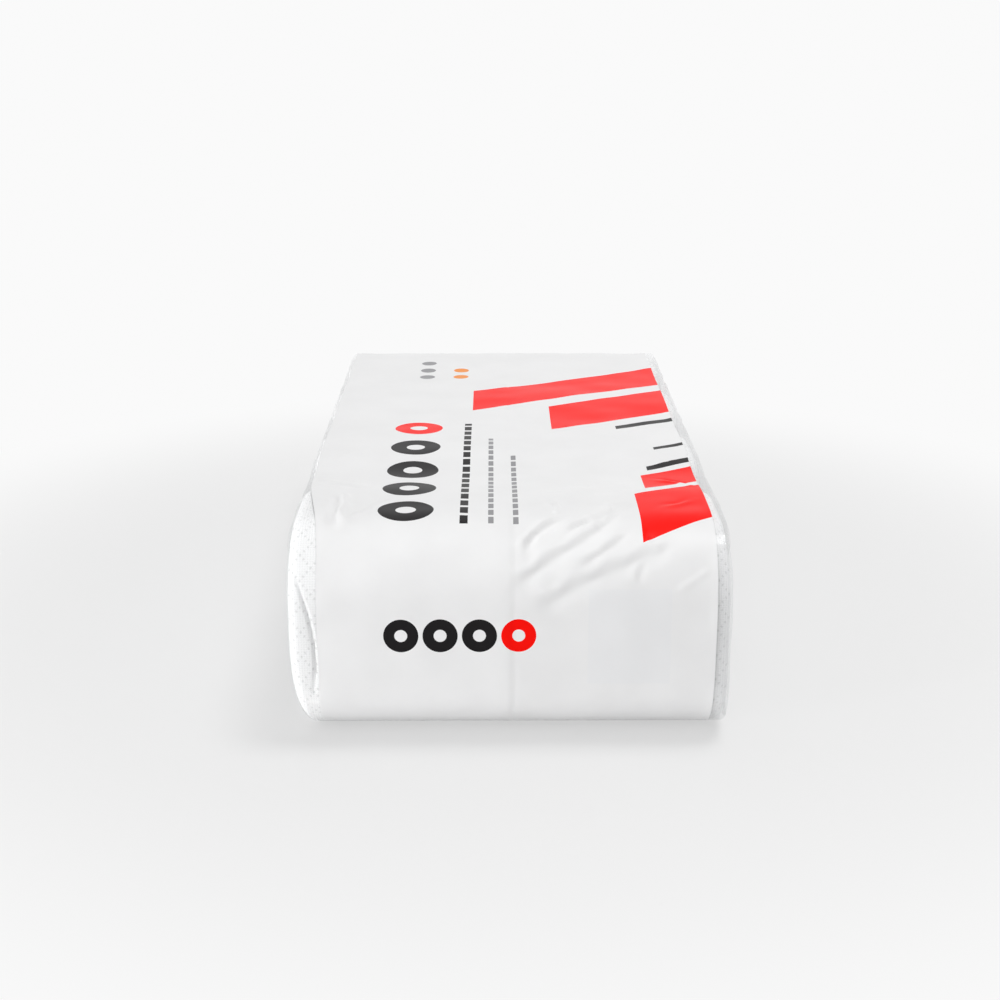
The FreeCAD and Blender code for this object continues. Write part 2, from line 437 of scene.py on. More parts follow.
class NodeSheet:
    """Short calls that lay out the nodes of one material."""

    def __init__(self, name: str) -> None:
        """Start a material with one Principled shader.

        Args:
            name: Name of the material.
        """
        self.material = bpy.data.materials.new(name)
        self.material.use_nodes = True
        self.tree = self.material.node_tree
        self.shader = self.tree.nodes["Principled BSDF"]

    def node(self, kind: str, **settings: object) -> bpy.types.Node:
        """Add a node.

        Args:
            kind: Blender's name of the node's type.
            **settings: Its properties, and values of its inputs.

        Returns:
            The node.
        """
        made = self.tree.nodes.new(kind)
        for name, value in settings.items():
            if hasattr(made, name):
                setattr(made, name, value)
            else:
                self.feed(made.inputs[name.replace("_", " ")], value)
        return made

    def feed(self, socket: bpy.types.NodeSocket, value: object) -> None:
        """Link a socket to an input, or set its value."""
        if isinstance(value, bpy.types.NodeSocket):
            self.tree.links.new(value, socket)
        else:
            socket.default_value = value

    def math(self, operation: str, first: object, second: object = 0.0) -> bpy.types.NodeSocket:
        """Result of a Math node on two values or sockets."""
        made = self.tree.nodes.new("ShaderNodeMath")
        made.operation = operation
        self.feed(made.inputs[0], first)
        self.feed(made.inputs[1], second)
        return made.outputs[0]

    def between(self, value: object, low: float, high: float) -> bpy.types.NodeSocket:
        """1 where a value lies between two limits, and 0 elsewhere."""
        above = self.math("GREATER_THAN", value, low)
        below = self.math("LESS_THAN", value, high)
        return self.math("MULTIPLY", above, below)

    def place(self, attribute: str) -> tuple[bpy.types.NodeSocket, ...]:
        """The three parts of a mesh attribute."""
        read = self.node("ShaderNodeAttribute", attribute_name=attribute)
        parts = self.node("ShaderNodeSeparateXYZ", Vector=read.outputs["Vector"])
        return tuple(parts.outputs)

    def mixed(self, factor: object, first: object, second: object) -> bpy.types.NodeSocket:
        """Colour mixed from two colours by a factor."""
        made = self.tree.nodes.new("ShaderNodeMix")
        made.data_type = "RGBA"
        self.feed(made.inputs["Factor"], factor)
        self.feed(made.inputs[6], first)
        self.feed(made.inputs[7], second)
        return made.outputs[2]

    def noise(self, scale: float, detail: float, roughness: float = 0.5,
              vector: object = None) -> bpy.types.NodeSocket:
        """Value of a noise texture, in object coordinates unless a vector is given."""
        if vector is None:
            vector = self.node("ShaderNodeTexCoord").outputs["Object"]
        made = self.node("ShaderNodeTexNoise", Vector=vector, Scale=scale, Detail=detail,
                         Roughness=roughness)
        return made.outputs["Fac"]

    def ramp(self, value: object, low: float, high: float, start: float,
             end: float) -> bpy.types.NodeSocket:
        """A value mapped from one range to another, and held at its ends."""
        made = self.node("ShaderNodeMapRange", From_Min=low, From_Max=high, To_Min=start,
                         To_Max=end)
        self.feed(made.inputs["Value"], value)
        return made.outputs[0]

    def bump(self, height: object, distance: float, strength: float,
             normal: object = None) -> bpy.types.NodeSocket:
        """Normal bent by a height."""
        made = self.node("ShaderNodeBump", Strength=strength, Distance=distance, Height=height)
        if normal is not None:
            self.feed(made.inputs["Normal"], normal)
        return made.outputs["Normal"]


@dataclass(frozen=True)
class PrintedBar:
    """A printed band: between two x, and between two girths that slant with x. Millimetres."""

    ink: Ink
    left: float
    right: float
    start: float
    end: float
    slant: float = 0.0
    strength: float = 1.0

    def mask(self, sheet: NodeSheet, x: object, girth: object) -> bpy.types.NodeSocket:
        """1 inside the band, in nodes."""
        rise = sheet.math("MULTIPLY", x, self.slant)
        level = sheet.math("SUBTRACT", girth, rise)
        across = sheet.between(x, self.left * MM, self.right * MM)
        along = sheet.between(level, self.start * MM, self.end * MM)
        return sheet.math("MULTIPLY", across, along)


@dataclass(frozen=True)
class PrintedRings:
    """A row of printed rings, like roll ends. Millimetres."""

    ink: Ink
    x: float
    girth: float
    pitch: float
    count: int
    outer: float
    inner: float
    along_girth: bool
    strength: float = 1.0

    def mask(self, sheet: NodeSheet, x: object, girth: object) -> bpy.types.NodeSocket:
        """1 inside the rings, in nodes."""
        run = sheet.math("SUBTRACT", girth, self.girth * MM)
        cross = sheet.math("SUBTRACT", x, self.x * MM)
        if not self.along_girth:
            run, cross = cross, run
        half = self.pitch * MM / 2
        shifted = sheet.math("ADD", run, half)
        cell = sheet.math("FLOORED_MODULO", shifted, self.pitch * MM)
        local = sheet.math("SUBTRACT", cell, half)
        squares = sheet.math("ADD", sheet.math("POWER", local, 2.0),
                             sheet.math("POWER", sheet.math("ABSOLUTE", cross), 2.0))
        distance = sheet.math("SQRT", squares)
        ring = sheet.between(distance, self.inner * MM, self.outer * MM)
        row = sheet.between(shifted, 0.0, self.count * self.pitch * MM)
        return sheet.math("MULTIPLY", ring, row)


@dataclass(frozen=True)
class PrintedDashes:
    """A perforation line of printed dashes along the girth. Millimetres."""

    ink: Ink
    x: float
    start: float
    end: float
    width: float
    pitch: float
    dash: float
    strength: float = 1.0

    def mask(self, sheet: NodeSheet, x: object, girth: object) -> bpy.types.NodeSocket:
        """1 inside the dashes, in nodes."""
        across = sheet.between(x, (self.x - self.width / 2) * MM, (self.x + self.width / 2) * MM)
        along = sheet.between(girth, self.start * MM, self.end * MM)
        cell = sheet.math("FLOORED_MODULO", sheet.math("SUBTRACT", girth, self.start * MM),
                          self.pitch * MM)
        dash = sheet.math("LESS_THAN", cell, self.dash * MM)
        return sheet.math("MULTIPLY", sheet.math("MULTIPLY", across, along), dash)


PACK_PRINT = (
    PrintedBar(Ink.RED, 58.0, 89.8, 14.0, 64.0, 0.55),
    PrintedBar(Ink.RED, 64.0, 89.8, 71.0, 96.0, 0.55),
    PrintedBar(Ink.BLACK, 68.0, 89.8, 102.0, 108.0, 0.55),
    PrintedBar(Ink.BLACK, 74.0, 89.8, 128.0, 133.0, 0.55),
    PrintedBar(Ink.BLACK, 58.0, 89.8, 178.0, 185.0, 0.55),
    PrintedBar(Ink.RED, 24.0, 89.8, 197.0, 244.0, 0.55),
    PrintedBar(Ink.RED, -18.0, 89.8, 259.0, 302.0, 0.55),
    PrintedRings(Ink.BLACK, -47.0, 4.2, 17.0, 3, 7.6, 2.8, False),
    PrintedRings(Ink.RED, 4.0, 4.2, 17.0, 1, 7.6, 2.8, False),
    PrintedRings(Ink.BLACK, -46.0, 72.0, 34.0, 4, 12.5, 4.6, True),
    PrintedRings(Ink.RED, -46.0, 212.0, 34.0, 1, 12.5, 4.6, True),
    PrintedDashes(Ink.BLACK, -20.0, 58.0, 222.0, 3.6, 10.0, 7.5),
    PrintedDashes(Ink.GREY, -8.0, 58.0, 190.0, 2.4, 8.0, 6.0),
    PrintedDashes(Ink.GREY, 3.0, 58.0, 162.0, 2.4, 8.0, 6.0),
    PrintedRings(Ink.GREY, -46.0, 330.0, 16.0, 3, 4.5, 0.0, True),
    PrintedRings(Ink.ORANGE, -26.0, 330.0, 16.0, 2, 4.5, 0.0, True),
    PrintedBar(Ink.PALE, 34.0, 70.0, -19.0, 25.0, 0.0, 0.35),
)


@dataclass(frozen=True)
class PrintedFilmFinish:
    """Soft-gloss white polyethylene film with its print."""

    name: str = "printed_film"
    white: tuple[float, float, float] = (0.85, 0.85, 0.853)
    dim_share: float = 0.965
    cloud_scale: float = 38.0
    roughness: float = 0.3
    haze_scale: float = 30.0
    slack_scale: float = 45.0
    slack_depth: float = 0.0012
    gloss: float = 0.06
    print_marks: tuple[object, ...] = PACK_PRINT

    def material(self) -> bpy.types.Material:
        """The finished material."""
        sheet = NodeSheet(self.name)
        x, girth, _ = sheet.place("film_place")
        cloud = sheet.noise(self.cloud_scale, 3.0)
        tint = sheet.ramp(cloud, 0.3, 0.7, 0.0, 1.0)
        dim = tuple(part * self.dim_share for part in self.white)
        colour = sheet.mixed(tint, (*dim, 1.0), (*self.white, 1.0))
        for mark in self.print_marks:
            factor = mark.mask(sheet, x, girth)
            if mark.strength < 1.0:
                factor = sheet.math("MULTIPLY", factor, mark.strength)
            colour = sheet.mixed(factor, colour, (*mark.ink.value, 1.0))
        sheet.feed(sheet.shader.inputs["Base Color"], colour)
        sheet.shader.inputs["Specular IOR Level"].default_value = self.gloss
        haze = sheet.noise(self.haze_scale, 1.0)
        sheet.feed(sheet.shader.inputs["Roughness"],
                   sheet.ramp(haze, 0.3, 0.7, self.roughness - 0.02, self.roughness + 0.03))
        slack = sheet.noise(self.slack_scale, 1.0)
        sheet.feed(sheet.shader.inputs["Normal"], sheet.bump(slack, self.slack_depth, 0.2))
        return sheet.material


@dataclass(frozen=True)
class ClearFilmFinish:
    """Clear film, hazier where layers are welded together."""

    name: str
    alpha: float
    roughness: float
    gloss: float = 1.0
    colour: tuple[float, float, float] = (0.9, 0.92, 0.94)
    haze_scale: float = 210.0
    slack_scale: float = 160.0
    slack_depth: float = 0.001
    ripple_scale: float = 700.0
    ripple_depth: float = 0.0002

    def material(self) -> bpy.types.Material:
        """The finished material."""
        sheet = NodeSheet(self.name)
        sheet.shader.inputs["Base Color"].default_value = (*self.colour, 1.0)
        sheet.shader.inputs["Alpha"].default_value = self.alpha
        sheet.shader.inputs["Specular IOR Level"].default_value = self.gloss
        haze = sheet.noise(self.haze_scale, 3.0)
        sheet.feed(sheet.shader.inputs["Roughness"],
                   sheet.ramp(haze, 0.3, 0.7, self.roughness * 0.7, self.roughness * 1.4))
        slack = sheet.bump(sheet.noise(self.slack_scale, 2.0), self.slack_depth, 0.12)
        ripple = sheet.noise(self.ripple_scale, 2.0)
        sheet.feed(sheet.shader.inputs["Normal"],
                   sheet.bump(ripple, self.ripple_depth, 0.1, slack))
        return sheet.material


@dataclass(frozen=True)
class TissueFinish:
    """White embossed tissue. The turns on the roll's ends and the pits of the embossing are darkened
    with painted shade, on top of their bumps.
    """

    name: str = "embossed_tissue"
    white: tuple[float, float, float] = (0.96, 0.96, 0.96)
    grain_pitch: float = 0.0011
    motif_width: float = 0.0095
    motif_height: float = 0.0115
    dots_per_side: float = 3.0
    turn_pitch: float = 0.00055
    end_shade: float = 0.93
    pit_shade: float = 0.66
    grain_shade_share: float = 0.48
    dot_shade_share: float = 0.6
    roughness: float = 0.92
    gloss: float = 0.2
    side_from: float = 0.044
    side_to: float = 0.047
    grain_depth: float = 0.00008
    dot_depth: float = 0.0002
    turn_depth: float = 0.0006

    def material(self) -> bpy.types.Material:
        """The finished material."""
        sheet = NodeSheet(self.name)
        x, around, radius = sheet.place("paper_place")
        turns = sheet.node("ShaderNodeCombineXYZ",
                           X=sheet.math("DIVIDE", radius, self.turn_pitch),
                           Y=sheet.math("MULTIPLY", around, 6.0))
        on_side = sheet.ramp(radius, self.side_from, self.side_to, 0.0, 1.0)
        on_end = sheet.math("SUBTRACT", 1.0, on_side)
        lines = sheet.math("MULTIPLY", sheet.noise(1.0, 3.0, 0.7, turns.outputs[0]), on_end)
        shade = sheet.math("MAXIMUM", sheet.ramp(lines, 0.35, 0.65, 0.0, 1.0), on_side)
        # The turn lines on the roll's ends are darkened towards end_shade: painted shade between the
        # turns.
        dim = tuple(part * self.end_shade for part in self.white)
        pit_shade_colour = tuple(part * self.pit_shade for part in self.white)
        colour = sheet.mixed(shade, (*dim, 1.0), (*self.white, 1.0))
        sheet.shader.inputs["Roughness"].default_value = self.roughness
        sheet.shader.inputs["Specular IOR Level"].default_value = self.gloss
        wave = 2 * math.pi / self.grain_pitch
        rows = [sheet.ramp(sheet.math("COSINE", sheet.math("MULTIPLY", run, wave)), -0.2, 0.8,
                           0.0, 1.0) for run in (x, around)]
        grid = sheet.math("MULTIPLY", *rows)
        dots = self._motif(sheet, x, around)
        # The pressed grid and dot motif are darkened towards pit_shade: painted shade in the pits of
        # the embossing, on the roll's side only.
        for pressed, share in ((grid, self.grain_shade_share), (dots, self.dot_shade_share)):
            pit_shade_mask = sheet.math("MULTIPLY", sheet.math("MULTIPLY", pressed, share), on_side)
            colour = sheet.mixed(pit_shade_mask, colour, (*pit_shade_colour, 1.0))
        sheet.feed(sheet.shader.inputs["Base Color"], colour)
        grain = sheet.bump(sheet.math("MULTIPLY", grid, -1.0), self.grain_depth, 0.6)
        motif = sheet.bump(sheet.math("MULTIPLY", dots, -1.0), self.dot_depth, 0.6, grain)
        ends = sheet.bump(lines, self.turn_depth, 0.35, motif)
        sheet.feed(sheet.shader.inputs["Normal"], ends)
        return sheet.material

    def _motif(self, sheet: NodeSheet, x: object, around: object) -> bpy.types.NodeSocket:
        """Chains of pressed dots that cross in diamonds over the paper, in nodes."""
        across = sheet.math("MULTIPLY", x, 2 * math.pi / self.motif_width)
        along = sheet.math("MULTIPLY", around, 2 * math.pi / self.motif_height)
        rising = sheet.math("ADD", across, along)
        falling = sheet.math("SUBTRACT", across, along)
        rows = []
        for line, run in ((rising, falling), (falling, rising)):
            chain = sheet.ramp(sheet.math("COSINE", line), 0.86, 0.95, 0.0, 1.0)
            step = sheet.math("COSINE", sheet.math("MULTIPLY", run, self.dots_per_side))
            rows.append(sheet.math("MULTIPLY", chain, sheet.ramp(step, 0.45, 0.85, 0.0, 1.0)))
        return sheet.math("MAXIMUM", *rows)


@dataclass(frozen=True)
class BoardFinish:
    """Grey-brown cardboard with fine fibres."""

    name: str = "core_cardboard"
    colour: tuple[float, float, float] = (0.46, 0.36, 0.25)

    def material(self) -> bpy.types.Material:
        """The finished material."""
        sheet = NodeSheet(self.name)
        place = sheet.node("ShaderNodeTexCoord").outputs["Object"]
        fibres = sheet.node("ShaderNodeMapping", Vector=place, Scale=(90.0, 500.0, 500.0))
        flecks = sheet.noise(1.0, 4.0, 0.6, fibres.outputs[0])
        pale = tuple(min(1.0, part * 1.25) for part in self.colour)
        colour = sheet.mixed(sheet.ramp(flecks, 0.35, 0.65, 0.0, 1.0), (*self.colour, 1.0),
                             (*pale, 1.0))
        sheet.feed(sheet.shader.inputs["Base Color"], colour)
        sheet.shader.inputs["Roughness"].default_value = 0.85
        sheet.feed(sheet.shader.inputs["Normal"], sheet.bump(flecks, 0.0003, 0.4))
        return sheet.material


@dataclass(frozen=True)
class FloorFinish:
    """Plain pale paper sweep."""

    name: str = "pale_floor"
    colour: tuple[float, float, float] = (0.82, 0.82, 0.82)
    backdrop: float = 0.955
    sweep: float = 0.865
    sweep_share: float = 0.58
    near: float = 0.2
    far: float = 0.46

    def material(self) -> bpy.types.Material:
        """The finished material."""
        sheet = NodeSheet(self.name)
        self._backdrop(sheet)
        fine = sheet.noise(600.0, 2.0)
        dim = tuple(part * 0.99 for part in self.colour)
        colour = sheet.mixed(fine, (*dim, 1.0), (*self.colour, 1.0))
        sheet.feed(sheet.shader.inputs["Base Color"], colour)
        sheet.shader.inputs["Roughness"].default_value = 0.75
        sheet.shader.inputs["Specular IOR Level"].default_value = 0.25
        return sheet.material

    def _backdrop(self, sheet: NodeSheet) -> None:
        """Show the far floor as a pale backdrop, without light from it.

        Args:
            sheet: The floor's nodes.
        """
        place = sheet.node("ShaderNodeTexCoord").outputs["Object"]
        distance = sheet.node("ShaderNodeVectorMath", operation="LENGTH")
        sheet.feed(distance.inputs[0], place)
        far = sheet.node("ShaderNodeMapRange", interpolation_type="SMOOTHSTEP", From_Min=self.near,
                         From_Max=self.far)
        sheet.feed(far.inputs["Value"], distance.outputs["Value"])
        rays = sheet.node("ShaderNodeLightPath")
        seen = sheet.math("MAXIMUM", rays.outputs["Is Camera Ray"], rays.outputs["Is Glossy Ray"])
        seen = sheet.math("MAXIMUM", seen, rays.outputs["Is Transmission Ray"])
        level = sheet.ramp(far.outputs[0], 0.0, 1.0, self.sweep, self.backdrop)
        glow = sheet.node("ShaderNodeEmission", Strength=level)
        mix = sheet.node("ShaderNodeMixShader")
        share = sheet.ramp(far.outputs[0], 0.0, 1.0, self.sweep_share, 1.0)
        sheet.feed(mix.inputs[0], sheet.math("MULTIPLY", share, seen))
        sheet.feed(mix.inputs[1], sheet.shader.outputs[0])
        sheet.feed(mix.inputs[2], glow.outputs[0])
        sheet.feed(sheet.tree.nodes["Material Output"].inputs["Surface"], mix.outputs[0])


class MeshMaker:
    """Turns arrays of points into mesh objects."""

    @staticmethod
    def grid_faces(count_a: int, count_b: int, wrap_a: bool, wrap_b: bool) -> np.ndarray:
        """Quads of a grid of points.

        Args:
            count_a: Points along the first direction.
            count_b: Points along the second direction.
            wrap_a: Whether the first direction closes on itself.
            wrap_b: Whether the second direction closes on itself.

        Returns:
            Rows of four point numbers.
        """
        a = np.arange(count_a if wrap_a else count_a - 1)
        b = np.arange(count_b if wrap_b else count_b - 1)
        a, b = np.meshgrid(a, b, indexing="ij")
        next_a, next_b = (a + 1) % count_a, (b + 1) % count_b
        quads = [a * count_b + b, next_a * count_b + b, next_a * count_b + next_b,
                 a * count_b + next_b]
        return np.stack(quads, -1).reshape(-1, 4)

    @staticmethod
    def build(name: str, points: np.ndarray, faces: np.ndarray, attribute: str | None = None,
              values: np.ndarray | None = None) -> bpy.types.Object:
        """Make a smooth-shaded mesh object.

        Args:
            name: Name of the object.
            points: Its points, one row each.
            faces: Its faces, one row of point numbers each.
            attribute: Name of a vector stored on the face corners.
            values: Its values, one row for each face corner.

        Returns:
            The object.
        """
        mesh = bpy.data.meshes.new(name)
        mesh.from_pydata(points.tolist(), [], faces.tolist())
        mesh.polygons.foreach_set("use_smooth", np.ones(len(mesh.polygons), bool))
        if attribute is not None:
            stored = mesh.attributes.new(attribute, "FLOAT_VECTOR", "CORNER")
            stored.data.foreach_set("vector", values.astype(np.float32).ravel())
        mesh.update()
        made = bpy.data.objects.new(name, mesh)
        bpy.context.scene.collection.objects.link(made)
        return made

    @staticmethod
    def thicken(piece: bpy.types.Object, thickness: float) -> None:
        """Give a sheet its thickness, inwards from its outer face, and keep its borders crisp."""
        mesh = piece.data
        used = np.zeros(len(mesh.loops), np.int32)
        mesh.loops.foreach_get("edge_index", used)
        borders = np.bincount(used, minlength=len(mesh.edges)) == 1
        sharp = mesh.attributes.new("sharp_edge", "BOOLEAN", "EDGE")
        sharp.data.foreach_set("value", borders)
        solid = piece.modifiers.new("thickness", "SOLIDIFY")
        solid.thickness = thickness
        solid.offset = -1.0

    @staticmethod
    def sheet(name: str, grid: np.ndarray, flipped: bool, thickness: float,
              place: np.ndarray | None = None) -> bpy.types.Object:
        """Make a thin sheet from a grid of points.

        Args:
            name: Name of the object.
            grid: Its points, by column and row.
            flipped: Whether its faces turn the other way round.
            thickness: Its thickness.
            place: Places on the film, one for each point.

        Returns:
            The object.
        """
        faces = MeshMaker.grid_faces(grid.shape[0], grid.shape[1], False, False)
        if flipped:
            faces = faces[:, ::-1]
        attribute, values = None, None
        if place is not None:
            attribute, values = "film_place", place.reshape(-1, 3)[faces.ravel()]
        made = MeshMaker.build(name, grid.reshape(-1, 3), faces, attribute, values)
        MeshMaker.thicken(made, thickness)
        return made


def dress(piece: bpy.types.Object, material: bpy.types.Material,
          nodes: tuple[str, ...]) -> None:
    """Give a piece its material and body, and hide the CAD nodes that it stands for."""
    piece.data.materials.append(material)
    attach(piece, "root")
    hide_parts(*nodes)
    LOG.info("built %s with %d faces", piece.name, len(piece.data.polygons))


@dataclass
class FilmSleeve:
    """The white printed middle of the film, all the way round."""

    layout: PackLayout
    relief: FilmRelief
    thickness: float = 0.00012
    fine_step: float = 0.0012
    coarse_step: float = 0.0034
    fine_from: float = -0.045
    fine_to: float = 0.13
    side_step: float = 0.0016
    join_x: float = -0.003
    join_gap: float = 0.0005
    drift_from: float = 0.02
    drift_to: float = 0.083
    seam_width: float = 0.012
    seam_columns: int = 90
    seam_rows: int = 9
    seam_lift: float = 0.00028
    seam_thickness: float = 0.00025

    def columns(self) -> np.ndarray:
        """X of the grid's columns, closer together on the creased side."""
        lay = self.layout
        left = np.arange(lay.print_left, self.join_x, self.side_step)
        count = int((lay.print_right - self.join_x) / self.fine_step)
        right = np.linspace(self.join_x, lay.print_right, count)
        return np.r_[left[left < self.join_x - self.join_gap], right]

    def rows(self) -> np.ndarray:
        """Girths of the grid's rows, closer together on the front and the near top."""
        length = self.relief.outline.length
        fine = np.arange(self.fine_from, self.fine_to, self.fine_step)
        rest = length + self.fine_from - self.fine_to
        coarse = np.linspace(self.fine_to, length + self.fine_from, int(rest / self.coarse_step))
        return np.r_[fine, coarse[:-1]]

    def build(self, finish: PrintedFilmFinish) -> None:
        """Make the sleeve and its lap seam, and dress them."""
        x, girth = self.columns(), self.rows()
        grid_x, grid_girth = np.meshgrid(x, girth, indexing="ij")
        moved = eased(-grid_x, self.drift_from, self.drift_to)
        grid_x = grid_x - self.relief.print_drift(grid_girth) * moved
        points = self.relief.surface(grid_x, grid_girth).reshape(-1, 3)
        faces = MeshMaker.grid_faces(len(x), len(girth), False, True)
        place = np.stack([grid_x, grid_girth, np.zeros_like(grid_x)], -1).reshape(-1, 3)
        corners = place[faces.ravel()]
        wrapped = np.repeat(faces[:, 2] % len(girth) == 0, 4)
        closing = wrapped & (corners[:, 1] < self.fine_from + 1e-9)
        corners[closing, 1] += self.relief.outline.length
        faces = faces[:, ::-1]
        corners = corners.reshape(-1, 4, 3)[:, ::-1].reshape(-1, 3)
        sleeve = MeshMaker.build("film_sleeve", points, faces, "film_place", corners)
        MeshMaker.thicken(sleeve, self.thickness)
        material = finish.material()
        dress(sleeve, material, ("film_wrap",))
        self._seam(material)

    def _seam(self, material: bpy.types.Material) -> None:
        """Make the lap seam on the underside."""
        outline = self.relief.outline
        middle = 0.5 * (outline.corners[2] + outline.corners[3])
        half = self.seam_width / 2
        x = np.linspace(self.layout.print_left, self.layout.print_right, self.seam_columns)
        girth = np.linspace(middle - half, middle + half, self.seam_rows)
        grid_x, grid_girth = np.meshgrid(x, girth, indexing="ij")
        points = self.relief.surface(grid_x, grid_girth, self.seam_lift)
        place = np.stack([grid_x, grid_girth, np.zeros_like(grid_x)], -1)
        seam = MeshMaker.sheet("film_lap_seam", points, True, self.seam_thickness, place)
        dress(seam, material, ("film_wrap",))


@dataclass
class EndShape:
    """Where the film and the paper end on one side of the pack."""

    layout: PackLayout
    side: EndSide
    reach: float
    rounding: float
    lean_up: float
    lean_down: float
    crinkle: float
    paper_gap: float
    core_dimple: float = 0.0016
    row_dip: float = 0.0005
    row_dip_reach: float = 0.005
    slow_wave: float = 0.0003
    cross_wave: float = 0.00022

    def recess(self, z: np.ndarray) -> np.ndarray:
        """How far the end leans in at a height."""
        share = (z - self.layout.axis_height) / self.layout.axis_height
        return np.where(share > 0, self.lean_up, self.lean_down) * share ** 2

    def face_relief(self, y: np.ndarray, z: np.ndarray) -> np.ndarray:
        """Height of the end face over its plane: dimples at the cores, dips between rolls."""
        lay = self.layout
        height = np.zeros(np.shape(y))
        for row in range(lay.rows):
            gap = np.hypot(y - lay.row_y(row), z - lay.axis_height) / lay.bore_radius
            height -= self.core_dimple * (1.0 - eased(gap, 0.3, 1.15))
            if row:
                edge = lay.row_y(row) - lay.row_pitch / 2
                height -= self.row_dip * np.exp(-(((y - edge) / self.row_dip_reach) ** 2))
        height += self.slow_wave * np.sin(62.0 * y + 2.0) * np.sin(75.0 * z + 21.0 * y)
        crossed = np.sin(210.0 * y + 160.0 * z) * np.sin(37.0 * y - 90.0 * z)
        return height + self.cross_wave * crossed

    def face_x(self, y: np.ndarray, z: np.ndarray, lift: float = 0.0) -> np.ndarray:
        """X of the end film over the given places."""
        return self.side.value * (self.reach - self.recess(z) + self.face_relief(y, z) + lift)


